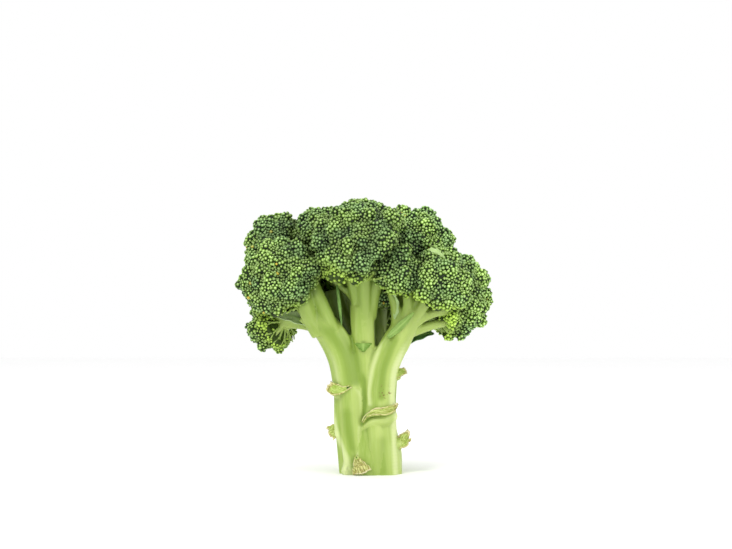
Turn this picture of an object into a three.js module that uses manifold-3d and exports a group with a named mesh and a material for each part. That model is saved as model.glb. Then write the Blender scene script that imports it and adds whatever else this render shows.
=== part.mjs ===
// A head of broccoli, cut for market and standing on its cut end.
//
// A thick stalk divides into seven limbs. Each limb carries the stems of its florets, and each stem ends in a
// crown, the dome of green buds. Stubs of trimmed leaf stalks and a few small leaves are left on the stalk.
// Millimetres, +Z up. The origin is the middle of the cut end, which is the flat face that the head stands on.
// -Y is the front, where one large crown hangs over the middle stem.

import * as THREE from "three";
import { mergeVertices } from "three/addons/utils/BufferGeometryUtils.js";
import Module from "manifold-3d";

const wasm = await Module();
wasm.setup();

// Driving dimensions.
const stalkRadius = 18.5; // of the stalk at the cut end
const trunkHeight = 66; // up to where the limbs part
const trunkTaper = [1, 0.98, 0.92, 0.86, 0.8]; // the trunk's radius from foot to top, as shares of the stalk's
const domeHeight = 0.8; // a crown's height above its rim, as a share of its radius
const neckDepth = 0.55; // how far below its rim a crown meets its stem, as a share of its radius
const neckWidth = 0.24; // a crown's radius where it meets its stem, as a share of its radius
const rimDrop = 0.4; // how far a crown's dome curls under its rim, in radians
const lobeSize = 17; // from one lobe of a crown to the next
const lobeHeight = 1.3; // how far the lobes rise and sink
const leafThickness = 2.2; // along the middle of a leaf
const stemSocket = 3; // how far a stem runs up into its crown
const gap = 0.3; // left between pieces that grow together

// Coarseness of the faceted surfaces.
const trunkSides = 22;
const crownSides = 22;
const crownRows = 3;
const stemSides = 10;
const stemSteps = 5;
const limbSides = 12;
const limbSteps = 8;

const finishes = {
  crown: { color: 0x4f7a32, roughness: 0.62 },
  stem: { color: 0xa9c76a, roughness: 0.45 },
  stub: { color: 0xb4b96a, roughness: 0.7 },
  leaf: { color: 0x3f6e3c, roughness: 0.5 },
};

// The limbs, each a run of points from low in the stalk to where its last stems part, with its radius at each.
const limbs = {
  left: {
    path: [[-8.5, -6, 0], [-10.8, -7, 26], [-13, -8, 54], [-17, -9.2, 71], [-26, -11, 86.5], [-38, -12.5, 97]],
    radii: [9.6, 10, 9.7, 9.6, 8.9, 7.4],
  },
  front: {
    path: [[-1, -6, 0], [-2.5, -6.5, 40], [-4, -9, 66], [-4.5, -13, 86], [-5, -15, 100]],
    radii: [9, 9, 8.2, 7.4, 7.2],
  },
  right: {
    path: [[7.5, -7, 0], [5, -9, 40], [7, -11, 60], [11.3, -13, 72], [17, -14, 82], [25, -17, 98]],
    radii: [11.5, 9.6, 9.2, 8.7, 8.2, 6.6],
  },
  rightBack: {
    path: [[7, 6, 0], [7, 8, 45], [9, 12, 68], [17, 16, 84], [27, 20, 97]],
    radii: [10, 9.5, 8.8, 8, 6.5],
  },
  back: {
    path: [[0, 8, 0], [-1, 11, 45], [-1, 16, 70], [0, 24, 90], [1, 29, 102]],
    radii: [10, 9.5, 8.8, 8, 6.5],
  },
  leftBack: {
    path: [[-8, 6, 0], [-9, 8, 45], [-14, 11, 68], [-24, 15, 84], [-34, 18, 96]],
    radii: [10, 9.5, 8.8, 8, 6.5],
  },
  middle: {
    path: [[0, 0, 10], [0, 1, 50], [-1, 4, 80], [-2, 7, 104]],
    radii: [9, 9, 9, 8.5],
  },
};

// The florets: the middle of the crown's rim, the crown's radius, the way its top faces (degrees round from +X,
// and degrees of tilt from upright), the limb that carries it, how far along that limb its stem leaves, and the
// stem's radius at that point and at the crown.
const florets = {
  front: {
    at: [-5, -25, 135.5], radius: 31, faces: [-95, 30],
    limb: "front", leaves: 0.9, stem: [6.8, 8.4],
  },
  top: {
    at: [-5, 14, 145], radius: 27, faces: [90, 6],
    limb: "middle", leaves: 0.85, stem: [8, 8.5],
  },
  left_top: {
    at: [-30, 1, 143.5], radius: 21.5, faces: [-125, 26],
    limb: "middle", leaves: 0.7, stem: [6, 6.5],
  },
  left_back: {
    at: [-56, 11, 139], radius: 22, faces: [170, 20],
    limb: "leftBack", leaves: 0.85, stem: [5.5, 6.5],
  },
  left_front: {
    at: [-53, -18, 117.5], radius: 26.5, faces: [-128, 58],
    limb: "left", leaves: 0.92, stem: [6, 7],
  },
  left_low: {
    at: [-60, 9, 88], radius: 17, faces: [138, 104],
    limb: "leftBack", leaves: 0.75, stem: [4.2, 4.6],
  },
  right_top: {
    at: [27, 3, 140.5], radius: 24.5, faces: [-60, 32],
    limb: "rightBack", leaves: 0.8, stem: [6, 7.5],
  },
  right: {
    at: [50, 4, 107], radius: 28, faces: [12, 78],
    limb: "right", leaves: 0.72, stem: [5.6, 6],
  },
  right_front: {
    at: [40, -28, 115.5], radius: 21.5, faces: [-55, 52],
    limb: "right", leaves: 0.95, stem: [5.8, 6.5],
  },
  front_small: {
    at: [15.5, -27, 120], radius: 17, faces: [-86, 50],
    limb: "right", leaves: 0.8, stem: [3.8, 4.6],
  },
  inner_small: {
    at: [8, -7, 106], radius: 10, faces: [-80, 50],
    limb: "rightBack", leaves: 0.55, stem: [3.4, 3.6],
  },
  back_right: {
    at: [38, 38, 110], radius: 25, faces: [50, 72],
    limb: "rightBack", leaves: 0.92, stem: [6, 6.5],
  },
  back: {
    at: [0, 45, 126], radius: 26, faces: [92, 58],
    limb: "back", leaves: 0.9, stem: [6.2, 7],
  },
  back_left: {
    at: [-41, 37, 114], radius: 25, faces: [133, 70],
    limb: "leftBack", leaves: 0.92, stem: [5.8, 6.5],
  },
  back_right_top: {
    at: [27, 35, 138], radius: 20, faces: [55, 40],
    limb: "back", leaves: 0.8, stem: [5, 5.5],
  },
  back_left_top: {
    at: [-27, 32, 140], radius: 20, faces: [122, 38],
    limb: "leftBack", leaves: 0.6, stem: [5, 5.5],
  },
  back_low: {
    at: [5, 44, 98], radius: 16, faces: [86, 96],
    limb: "back", leaves: 0.75, stem: [4, 4.4],
  },
};

// Stubs of trimmed leaf stalks: where the middle of each stands on the stalk, the way it points, how long and
// wide it is, and how it is turned: the direction that its width runs in.
const stubs = {
  stub_left_upper: {
    at: [-16, -12, 47], points: [-0.75, -0.25, 0.55], length: 13,
    width: 5.5, across: [0.55, -0.7, 0.45],
  },
  stub_front: {
    at: [5, -16, 36], points: [0.15, -0.75, 0.55], length: 7,
    width: 9.5, across: [0.95, 0.1, 0.3],
  },
  stub_right_upper: {
    at: [16, -8, 60], points: [0.85, -0.35, 0.3], length: 5,
    width: 4.4, across: [0.4, 0.8, 0.5],
  },
  stub_left_lower: {
    at: [-19, -6, 22], points: [-0.85, -0.3, 0.3], length: 6,
    width: 5.6, across: [0.2, -0.35, 0.9],
  },
  stub_right_lower: {
    at: [16, -8, 19], points: [0.85, -0.3, 0.3], length: 6,
    width: 4.8, across: [-0.2, 0.4, 0.9],
  },
  stub_base: {
    at: [-7, -15.5, 4], points: [-0.25, -0.75, 0.62], length: 8,
    width: 9, across: [0.95, -0.3, 0.1],
  },
  stub_back: {
    at: [2, 19, 33], points: [0.05, 0.85, 0.5], length: 9,
    width: 8, across: [1, 0, 0.1],
  },
};

// Small leaves: where each is rooted, the way it grows, the way its upper face looks, its length and width, and
// how far it curls away from that face.
const leaves = {
  leaf_right: {
    at: [18, 0, 77], grows: [0.9, 0.1, 0.35], looks: [-0.2, -0.75, 0.6],
    length: 22, width: 10, curl: 3,
  },
  leaf_left: {
    at: [-39, 0, 89], grows: [-0.92, -0.05, 0.3], looks: [0.2, -0.75, 0.6],
    length: 20, width: 9, curl: 3,
  },
  leaf_hanging: {
    at: [-20, -20, 112], grows: [0.12, -0.05, -0.98], looks: [0.1, -0.98, 0.05],
    length: 24, width: 2.6, curl: 1,
  },
  leaf_limb: {
    at: [10, -21.2, 81], grows: [0.7, -0.22, 0.66], looks: [-0.1, -0.98, 0.1],
    length: 22, width: 5.5, curl: -1.5,
  },
  leaf_fork: {
    at: [14, -21, 92], grows: [0.04, -0.22, 0.97], looks: [-0.75, -0.6, 0],
    length: 17, width: 3.6, curl: -2,
  },
  leaf_bract: {
    at: [-4.5, -18.6, 72.5], grows: [0, -0.35, 0.94], looks: [0, 0.94, 0.35],
    length: 7, width: 9, curl: 1,
  },
  leaf_crown: {
    at: [33, -45, 131], grows: [0.85, 0.1, -0.35], looks: [0.2, -0.75, 0.62],
    length: 10, width: 3.4, curl: 1.2,
  },
};

const vector = (xyz) => new THREE.Vector3(...xyz);

// A closed geometry as a solid that can be joined and cut. Faces that lie on an axis close up and are dropped.
function solidOf(geometry) {
  geometry.deleteAttribute("normal");
  geometry.deleteAttribute("uv");
  const merged = mergeVertices(geometry, 1e-4);
  const corners = merged.index.array;
  const kept = [];
  for (let i = 0; i < corners.length; i += 3) {
    const [a, b, c] = corners.slice(i, i + 3);
    if (a !== b && b !== c && c !== a) kept.push(a, b, c);
  }
  const vertProperties = new Float32Array(merged.getAttribute("position").array);
  return new wasm.Manifold(new wasm.Mesh({ numProp: 3, vertProperties, triVerts: new Uint32Array(kept) }));
}

// The solid as a mesh placed at a point of its own.
function meshOf(name, solid, place, finish) {
  const { vertProperties, triVerts } = solid.getMesh();
  const geometry = new THREE.BufferGeometry();
  geometry.setAttribute("position", new THREE.BufferAttribute(new Float32Array(vertProperties), 3));
  geometry.setIndex(new THREE.BufferAttribute(new Uint32Array(triVerts), 1));
  geometry.translate(-place.x, -place.y, -place.z);
  geometry.computeVertexNormals();
  const mesh = new THREE.Mesh(geometry, new THREE.MeshStandardMaterial({ metalness: 0, ...finishes[finish] }));
  mesh.name = name;
  mesh.position.copy(place);
  return mesh;
}

// The biggest of the bodies that a cut leaves.
function biggest(solid) {
  return solid.decompose().reduce((best, body) => (body.volume() > best.volume() ? body : best));
}

// A round rod along a curve, with its radius given at each share of its length. It may be flattened across a
// direction, and grown on all sides to make the cutter that leaves a gap round it.
function rod(curve, radiusAt, options = {}) {
  const { sides = stemSides, steps = stemSteps, grow = 0, across = null, flat = 1 } = options;
  const frames = curve.computeFrenetFrames(steps, false);
  const geometry = new THREE.CylinderGeometry(1, 1, 1, sides, steps);
  const position = geometry.getAttribute("position");
  for (let i = 0; i < position.count; i++) {
    const share = position.getY(i) + 0.5;
    const ring = Math.round(share * steps);
    const along = frames.tangents[ring];
    let side = frames.normals[ring];
    if (across) side = vector(across).addScaledVector(along, -vector(across).dot(along)).normalize();
    const other = new THREE.Vector3().crossVectors(along, side);
    const radius = radiusAt(share);
    const end = ring === 0 ? -grow : ring === steps ? grow : 0;
    const point = curve.getPointAt(share)
      .addScaledVector(along, end)
      .addScaledVector(side, position.getZ(i) * (radius + grow))
      .addScaledVector(other, position.getX(i) * (radius * flat + grow));
    position.setXYZ(i, point.x, point.y, point.z);
  }
  return solidOf(geometry);
}

// A value between the numbers of a list, for a share from 0 to 1.
function between(list, share) {
  const place = share * (list.length - 1);
  const low = Math.min(Math.floor(place), list.length - 2);
  return THREE.MathUtils.lerp(list[low], list[low + 1], place - low);
}

function limbCurve(name) {
  return new THREE.CatmullRomCurve3(limbs[name].path.map(vector), false, "centripetal");
}

// The stalk: a lobed trunk joined to its limbs, all cut off flat at the foot.
function stalk(grow) {
  const trunkCurve = new THREE.LineCurve3(new THREE.Vector3(), new THREE.Vector3(0, 0, trunkHeight));
  const radiusAt = (share) => stalkRadius * between(trunkTaper, share);
  const trunk = rod(trunkCurve, radiusAt, { sides: trunkSides, steps: 4, grow, across: [1, 0, 0] });
  const grown = Object.entries(limbs).reduce((joined, [name, { radii }]) => {
    const limbRadiusAt = (share) => between(radii, share);
    return joined.add(rod(limbCurve(name), limbRadiusAt, { sides: limbSides, steps: limbSteps, grow }));
  }, trunk);
  return grown.trimByPlane([0, 0, 1], 0);
}

// The way that a floret's crown faces.
function facing([round, tilt]) {
  const lean = THREE.MathUtils.degToRad(tilt);
  return new THREE.Vector3(Math.sin(lean), 0, Math.cos(lean))
    .applyAxisAngle(new THREE.Vector3(0, 0, 1), THREE.MathUtils.degToRad(round));
}

// A floret's stem: it leaves its limb along the limb, and bends to meet its crown square on.
function stem(floret, grow) {
  const limb = limbCurve(floret.limb);
  const root = limb.getPointAt(floret.leaves);
  const axis = facing(floret.faces);
  const end = vector(floret.at).addScaledVector(axis, stemSocket - neckDepth * floret.radius);
  const reach = root.distanceTo(end);
  const curve = new THREE.CubicBezierCurve3(
    root,
    root.clone().addScaledVector(limb.getTangentAt(floret.leaves), reach * 0.35),
    end.clone().addScaledVector(axis, -reach * 0.4),
    end,
  );
  return rod(curve, (share) => between(floret.stem, share), { grow });
}

// A floret's crown: a dome of lobes that curls under at its rim and narrows to its neck.
function crown({ at, radius, faces }) {
  const dome = domeHeight * radius;
  const profile = new THREE.Path();
  profile.moveTo(0, -neckDepth * radius);
  profile.lineTo(neckWidth * radius, -neckDepth * radius);
  profile.quadraticCurveTo(
    0.6 * radius,
    -0.5 * radius,
    radius * Math.cos(rimDrop),
    -dome * Math.sin(rimDrop),
  );
  profile.absellipse(0, 0, radius, dome, -rimDrop, Math.PI / 2, false);
  const points = profile.getPoints(crownRows);
  points.forEach((point) => (point.x = Math.abs(point.x) < 1e-6 ? 0 : point.x));
  const geometry = new THREE.LatheGeometry(points, crownSides);
  const turn = new THREE.Quaternion().setFromUnitVectors(new THREE.Vector3(0, 1, 0), facing(faces));
  geometry.applyQuaternion(turn).translate(...at);
  const position = geometry.getAttribute("position");
  const middle = vector(at);
  for (let i = 0; i < position.count; i++) {
    const point = new THREE.Vector3().fromBufferAttribute(position, i);
    const waves = [point.x, point.y, point.z].map((x) => Math.cos((x * 2 * Math.PI) / lobeSize));
    const rise = (lobeHeight * (waves[0] + waves[1] + waves[2])) / 2;
    point.addScaledVector(point.clone().sub(middle).normalize(), rise);
    position.setXYZ(i, point.x, point.y, point.z);
  }
  return solidOf(geometry);
}

// How far a crown reaches from the middle of its rim in a direction.
function reachOf({ radius, faces }, direction) {
  const along = direction.dot(facing(faces));
  const out = Math.sqrt(Math.max(0, 1 - along * along));
  if (along < 0) return radius / (out - along / neckDepth);
  return radius / Math.hypot(out, along / domeHeight);
}

// Crowns that would grow into each other press flat where they meet: each is cut back to a plane between them.
function pressedFlat(floret, others) {
  const middle = vector(floret.at);
  const whole = crown(floret);
  return others.reduce((left, other) => {
    if (whole.intersect(crown(other)).isEmpty()) return left;
    const towards = vector(other.at).sub(middle);
    const apart = towards.length();
    towards.normalize();
    const own = reachOf(floret, towards);
    const theirs = reachOf(other, towards.clone().negate());
    const face = middle.clone().addScaledVector(towards, (apart * own) / (own + theirs) - gap / 2);
    return left.trimByPlane([-towards.x, -towards.y, -towards.z], -towards.dot(face));
  }, whole);
}

// A stub of a leaf stalk, flattened as leaf stalks are, rooted inside the stalk and cut off square.
function stub({ at, points, length, width, across }, grow) {
  const out = vector(points).normalize();
  const root = vector(at).addScaledVector(out, -4);
  const curve = new THREE.LineCurve3(root, vector(at).addScaledVector(out, length));
  const radiusAt = (share) => width * (1.12 - 0.2 * share);
  return rod(curve, radiusAt, { sides: 14, steps: 2, grow, across, flat: 0.42 });
}

// A leaf: a blade, thickest along its middle and pointed at its tip, curled along its length.
function leaf({ at, grows, looks, length, width, curl }, grow) {
  const geometry = new THREE.SphereGeometry(1, 14, 8);
  const position = geometry.getAttribute("position");
  for (let i = 0; i < position.count; i++) {
    const along = (position.getY(i) + 1) / 2;
    const outline = 1 - 0.35 * along;
    position.setXYZ(
      i,
      position.getX(i) * (outline * width * 0.5 + grow),
      along * length + grow * position.getY(i),
      position.getZ(i) * (leafThickness / 2 + grow) + curl * (Math.sin(along * Math.PI) - along * along),
    );
  }
  const up = vector(grows).normalize();
  const face = vector(looks).addScaledVector(up, -vector(looks).dot(up)).normalize();
  const side = new THREE.Vector3().crossVectors(up, face);
  geometry.applyMatrix4(new THREE.Matrix4().makeBasis(side, up, face).setPosition(...at));
  return solidOf(geometry);
}

// Builds every piece in turn. Each is cut clear of those made before it.
function broccoliHead() {
  const head = new THREE.Group();
  head.name = "broccoli_head";
  const cutters = [];

  function clearOfTheRest(solid) {
    return biggest(cutters.reduce((left, cutter) => left.subtract(cutter), solid));
  }

  head.add(meshOf("stalk", stalk(0), new THREE.Vector3(), "stem"));
  cutters.push(stalk(gap));

  const stems = new THREE.Group();
  for (const [name, floret] of Object.entries(florets)) {
    const solid = clearOfTheRest(stem(floret, 0));
    stems.add(meshOf("stem_" + name, solid, limbCurve(floret.limb).getPointAt(floret.leaves), "stem"));
    cutters.push(stem(floret, gap));
  }

  const trimmed = new THREE.Group();
  for (const [name, shape] of Object.entries(stubs)) {
    const solid = clearOfTheRest(stub(shape, 0)).trimByPlane([0, 0, 1], gap);
    trimmed.add(meshOf(name, solid, vector(shape.at), "stub"));
    cutters.push(stub(shape, gap));
  }

  const foliage = new THREE.Group();
  for (const [name, shape] of Object.entries(leaves)) {
    foliage.add(meshOf(name, clearOfTheRest(leaf(shape, 0)), vector(shape.at), "leaf"));
    cutters.push(leaf(shape, gap));
  }

  const crowns = new THREE.Group();
  const all = Object.values(florets);
  for (const [name, floret] of Object.entries(florets)) {
    const others = all.filter((other) => other !== floret);
    const solid = clearOfTheRest(pressedFlat(floret, others));
    crowns.add(meshOf("crown_" + name, solid, vector(floret.at), "crown"));
  }

  head.add(stems, trimmed, foliage, crowns);
  return head;
}

export default broccoliHead();
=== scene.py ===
"""A head of broccoli, standing on its cut end.

The stalk, its limbs and the stems of the florets are one skin, grown round a branching set of lines. Each
floret's crown is a core of lumps set with buds, on a fan of branchlets. Trimmed leaf stubs and small leaves
are added to the stalk. Lengths are in millimetres until a piece is finished, and in metres after that.
"""

import math

import bmesh
import bpy
import numpy as np
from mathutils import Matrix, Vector
from mathutils.bvhtree import BVHTree


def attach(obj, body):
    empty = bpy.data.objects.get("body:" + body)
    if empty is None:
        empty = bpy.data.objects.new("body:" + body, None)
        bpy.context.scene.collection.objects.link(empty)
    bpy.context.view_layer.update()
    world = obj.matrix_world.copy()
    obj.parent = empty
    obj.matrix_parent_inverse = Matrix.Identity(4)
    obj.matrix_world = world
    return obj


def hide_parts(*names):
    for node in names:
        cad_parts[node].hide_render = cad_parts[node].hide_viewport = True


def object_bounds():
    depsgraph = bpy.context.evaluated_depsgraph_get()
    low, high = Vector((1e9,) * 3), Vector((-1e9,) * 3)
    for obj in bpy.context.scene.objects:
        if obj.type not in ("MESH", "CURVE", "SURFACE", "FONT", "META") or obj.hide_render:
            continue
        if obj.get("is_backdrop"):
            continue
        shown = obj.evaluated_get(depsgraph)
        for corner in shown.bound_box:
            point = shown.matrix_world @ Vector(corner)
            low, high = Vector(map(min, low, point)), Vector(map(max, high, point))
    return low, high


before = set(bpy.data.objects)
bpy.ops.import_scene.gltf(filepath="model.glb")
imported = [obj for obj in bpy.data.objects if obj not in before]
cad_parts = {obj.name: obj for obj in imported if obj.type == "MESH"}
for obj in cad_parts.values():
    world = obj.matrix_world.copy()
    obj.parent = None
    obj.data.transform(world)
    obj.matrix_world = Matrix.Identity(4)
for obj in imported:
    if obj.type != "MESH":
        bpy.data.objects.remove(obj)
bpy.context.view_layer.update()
MM = 0.001

# ---------------------------------------------------------------- measurements

NECK_DEPTH = 0.55  # how far below its rim a crown meets its stem, as a share of its radius
BUD_SPACING = 1.58  # the least distance from one bud to the next
BUD_SIZE = 2.0  # the width of a middling bud
CLUMP = 2.7  # the radius of the clumps that buds sit on
STALK_RADIUS = 18.5
FORK_LEVEL = 50  # how far up the stalk the limbs begin to part
RIDGE_TOP, RIDGE_CORE = 92, 11  # how far up the ridges and furrows reach, and how far in
STEM_SKIN, CROWN_SKIN = 0.7, 0.8  # how fine the skins round the stems and the crowns are
CLOSENESS = 45  # how near something has to be for it to darken a stem with painted shade
CREASE_DEPTH = 5  # how far in a bud has to sit to be at its darkest in the painted crease shade
MEETING = 8  # how near the next crown has to be for its painted shade to darken a bud
STUB_FOOT = 1.0  # the lowest that the middle of a stub comes
LIGHTNESS = {"front": 0.9, "right": 1.3, "right_top": 1.3, "right_front": 1.12}  # of a crown's green

# The limbs of the stalk, from the foot up, with the radius at each point.
LIMBS = {
    "left": (
        [(-8.5, -6, -4), (-10.8, -7, 26), (-13, -8, 54), (-17, -9.2, 71), (-26, -11, 86.5), (-38, -12.5, 97)],
        [9.6, 10, 9.7, 9.6, 8.9, 7.4],
    ),
    "front": (
        [(-1, -6, -4), (-2.5, -6.5, 40), (-4, -9, 66), (-4.5, -13, 86), (-5, -15, 100)],
        [9, 9, 8.2, 7.4, 7.2],
    ),
    "right": (
        [(7.5, -7, -4), (5, -9, 40), (7, -11, 60), (11.3, -13, 72), (17, -14, 82), (25, -17, 98)],
        [11.5, 9.6, 9.2, 8.7, 8.2, 6.6],
    ),
    "rightBack": (
        [(7, 6, -4), (7, 8, 45), (9, 12, 68), (17, 16, 84), (27, 20, 97)],
        [10, 9.5, 8.8, 8, 6.5],
    ),
    "back": (
        [(0, 8, -4), (-1, 11, 45), (-1, 16, 70), (0, 24, 90), (1, 29, 102)],
        [10, 9.5, 8.8, 8, 6.5],
    ),
    "leftBack": (
        [(-8, 6, -4), (-9, 8, 45), (-14, 11, 68), (-24, 15, 84), (-34, 18, 96)],
        [10, 9.5, 8.8, 8, 6.5],
    ),
    "middle": ([(0, 0, -4), (0, 1, 50), (-1, 4, 80), (-2, 7, 104)], [9, 9, 9, 8.5]),
}
TRUNK = (
    [(0.4, 0, -4), (0.2, 0, 14), (-1.6, 0.8, 33), (-1.8, 0.8, 50), (0, 0, 65), (0, 0.2, 73), (0, 0.6, 80)],
    [18.6, 18.6, 16.4, 15.4, 14.4, 11.5, 4],
)

# Smaller branches that leave the limbs just under the crowns, with the radius at each end.
BRANCHES = [
    ([(-31, -13, 83), (-37, -18.5, 94), (-40, -22, 107)], (4.6, 4.6)),
    ([(-18, -12, 76), (-25, -17, 92), (-36, -20, 115)], (3.8, 4.4)),
    ([(-7.5, -14.5, 90), (-8.8, -18, 106), (-13, -22, 123)], (3.4, 4.2)),
    ([(-4, -16.5, 88), (-4, -19.5, 105), (-4, -25, 121)], (4.0, 4.8)),
    ([(-8, -14, 101), (-14, -15, 108), (-22, -17, 115)], (2.2, 1.8)),
    ([(0.2, -14.5, 92), (1.8, -17.5, 106), (6, -22, 122)], (3.2, 4.2)),
    ([(-7, 3, 70), (-17, 5, 88), (-23, 7, 110)], (7, 6)),
    ([(15.5, -15, 84), (15, -18.5, 98), (11, -21, 113)], (3.6, 2.8)),
    ([(19, -16, 87), (22, -21.5, 99), (21, -25, 112)], (3.6, 3.0)),
    ([(23, -17, 90), (31, -23, 100), (36, -26, 111)], (3.8, 3.2)),
    ([(21, -15, 86), (32, -17.5, 93.5), (42, -17, 96.5), (53, -11, 96)], (3.4, 2.4)),
    ([(19, -12, 82), (32, -11.5, 87), (44, -9, 90), (54, -3, 92)], (3.4, 2.4)),
    ([(16, 20, 86), (24, 28, 96), (28, 36, 104)], (4.4, 3.6)),
    ([(-4, 22, 82), (-9, 31, 94), (-13, 40, 106)], (4.2, 3.6)),
    ([(3, 24, 84), (9, 33, 96), (12, 42, 108)], (4.2, 3.6)),
    ([(-22, 16, 84), (-29, 25, 95), (-34, 32, 103)], (4.4, 3.6)),
]

# Swellings of the stalk under what is left of its leaves.
SWELLINGS = [
    ([(-4, -15, 28.5), (2, -16.6, 31.5), (8, -16.4, 32.5), (14, -13, 35.5)], (1.8, 3.4, 3.9, 2.4)),
    ([(-12, -14, 47), (-18, -12, 47), (-23, -11, 49.5)], (2.2, 3.2, 2.2)),
    ([(-15, -9, 24), (-20.5, -8.5, 23)], (4.2, 3.0)),
    ([(13, -8, 17), (18.5, -8, 17.5)], (4.2, 3.0)),
    ([(11, -10, 56), (17.5, -10, 58.5)], (3.0, 2.4)),
    ([(-15.5, -11.5, 1.5), (-12.5, -14.5, 3.2)], (3.0, 3.2)),
    ([(7, 15, 27), (0, 16.8, 30.5), (-7, 14.6, 34)], (2.2, 3.8, 2.4)),
    ([(2.5, -14.2, 30), (3, -14.4, 18), (3.6, -13.6, 3)], (5.2, 5.4, 5.0)),
]

# Ridges and furrows down the stalk: degrees round from its front and height at each point, then how wide and
# how high it stands.
# The stem's colour is painted lighter on the ridges and darker in the furrows, as light and shade.
RIDGES = [
    ([(24, 88), (14, 73), (3, 62), (-4, 50), (-2, 42)], 2.0, 0.6),
    ([(48, 88), (42, 72), (38, 60), (40, 46), (46, 33), (44, 20), (43, -8)], 2.6, 0.9),
    ([(-64, 88), (-52, 71), (-49, 56)], 2.8, 0.5),
    ([(-60, 91), (-48, 80), (-36, 70), (-30, 56)], 4.4, -0.9),
    ([(-68, 46), (-70, 36), (-60, 24), (-46, 12), (-42, -8)], 2.6, 0.9),
    ([(-38, 52), (-27, 50), (-21, 44), (-21, 34), (-25, 24), (-25, 6)], 1.2, 0.5),
    ([(-15, 62), (-14, 50), (-15, 38), (-19, 30)], 1.5, -0.9),
    ([(22, 28), (20, 15), (18, -8)], 6.0, -0.45),
    ([(36, 88), (28, 73), (20, 60), (19, 46)], 2.8, -0.8),
    ([(52, 60), (57, 40), (60, 26)], 1.0, -0.6),
    ([(-42, 42), (-40, 28), (-34, 16)], 3.6, -0.6),
    ([(-58, 34), (-54, 22), (-52, 8)], 1.0, -0.4),
    ([(92, 58), (96, 40), (88, 22), (90, -8)], 2.8, 0.8),
    ([(116, 56), (112, 34), (118, -8)], 3.2, -0.8),
    ([(146, 62), (140, 44), (146, 26), (140, -8)], 2.6, 0.8),
    ([(166, 52), (163, 42), (158, 26)], 1.4, -0.7),
    ([(184, 26), (180, 14), (184, -8)], 3.4, -0.9),
    ([(214, 60), (208, 40), (216, 22), (210, -8)], 2.6, 0.9),
    ([(238, 56), (236, 34), (242, -8)], 3.2, -0.8),
    ([(268, 60), (262, 40), (270, 20), (266, -8)], 2.4, 0.7),
]

# The florets: the middle of the crown's rim, its radius, the way its top faces (degrees round from +X and
# degrees of tilt), the limb that its stem leaves, where along it, and the stem's radius there and at the crown.
FLORETS = {
    "front": ((-5, -25, 135.5), 31, (-95, 30), "front", 0.9, (6.8, 8.4)),
    "top": ((-5, 14, 145), 27, (90, 6), "middle", 0.85, (8, 8.5)),
    "left_top": ((-30, 1, 143.5), 21.5, (-125, 26), "middle", 0.7, (6, 6.5)),
    "left_back": ((-56, 11, 139), 22, (170, 20), "leftBack", 0.85, (5.5, 6.5)),
    "left_front": ((-53, -18, 117.5), 26.5, (-128, 58), "left", 0.92, (6, 7)),
    "left_low": ((-60, 9, 88), 17, (138, 104), "leftBack", 0.75, (4.2, 4.6)),
    "right_top": ((27, 3, 140.5), 24.5, (-60, 32), "rightBack", 0.8, (6, 7.5)),
    "right": ((50, 4, 107), 28, (12, 78), "right", 0.72, (5.6, 6)),
    "right_front": ((40, -28, 115.5), 21.5, (-55, 52), "right", 0.95, (5.8, 6.5)),
    "front_small": ((15.5, -27, 120), 17, (-86, 50), "right", 0.8, (3.8, 4.6)),
    "inner_small": ((8, -7, 106), 10, (-80, 50), "rightBack", 0.55, (3.4, 3.6)),
    "back_right": ((38, 38, 110), 25, (50, 72), "rightBack", 0.92, (6, 6.5)),
    "back": ((0, 45, 126), 26, (92, 58), "back", 0.9, (6.2, 7)),
    "back_left": ((-41, 37, 114), 25, (133, 70), "leftBack", 0.92, (5.8, 6.5)),
    "back_right_top": ((27, 35, 138), 20, (55, 40), "back", 0.8, (5, 5.5)),
    "back_left_top": ((-27, 32, 140), 20, (122, 38), "leftBack", 0.6, (5, 5.5)),
    "back_low": ((5, 44, 98), 16, (86, 96), "back", 0.75, (4, 4.4)),
}

rng = np.random.default_rng(7)

# ---------------------------------------------------------------- lines


def unit(v):
    """A direction, of unit length."""
    v = np.asarray(v, float)
    return v / max(np.linalg.norm(v), 1e-9)


def facing(turn, tilt):
    """The way that a crown's top looks."""
    a, t = math.radians(turn), math.radians(tilt)
    return np.array([math.cos(a) * math.sin(t), math.sin(a) * math.sin(t), math.cos(t)])


def smooth_line(points, count):
    """A smooth line through the points, evenly spaced along its length."""
    p = np.asarray(points, float)
    p = np.vstack([2 * p[0] - p[1], p, 2 * p[-1] - p[-2]])
    fine = []
    for i in range(1, len(p) - 2):
        for t in np.linspace(0, 1, 24, endpoint=False):
            a = 2 * p[i]
            b = p[i + 1] - p[i - 1]
            c = 2 * p[i - 1] - 5 * p[i] + 4 * p[i + 1] - p[i + 2]
            d = -p[i - 1] + 3 * p[i] - 3 * p[i + 1] + p[i + 2]
            fine.append(0.5 * (a + b * t + c * t * t + d * t**3))
    fine.append(p[-2])
    fine = np.array(fine)
    run = np.concatenate([[0], np.cumsum(np.linalg.norm(np.diff(fine, axis=0), axis=1))])
    at = np.linspace(0, run[-1], count)
    return np.stack([np.interp(at, run, fine[:, k]) for k in range(3)], 1)


def spread(values, count):
    """A short list of values stretched evenly over a longer one."""
    return np.interp(np.linspace(0, 1, count), np.linspace(0, 1, len(values)), values)


def bezier(a, b, c, d, count):
    """Points along a curve that leaves its first point for its second and reaches its last from its third."""
    t = np.linspace(0, 1, count)[:, None]
    return (1 - t) ** 3 * a + 3 * (1 - t) ** 2 * t * b + 3 * (1 - t) * t * t * c + t**3 * d


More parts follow.
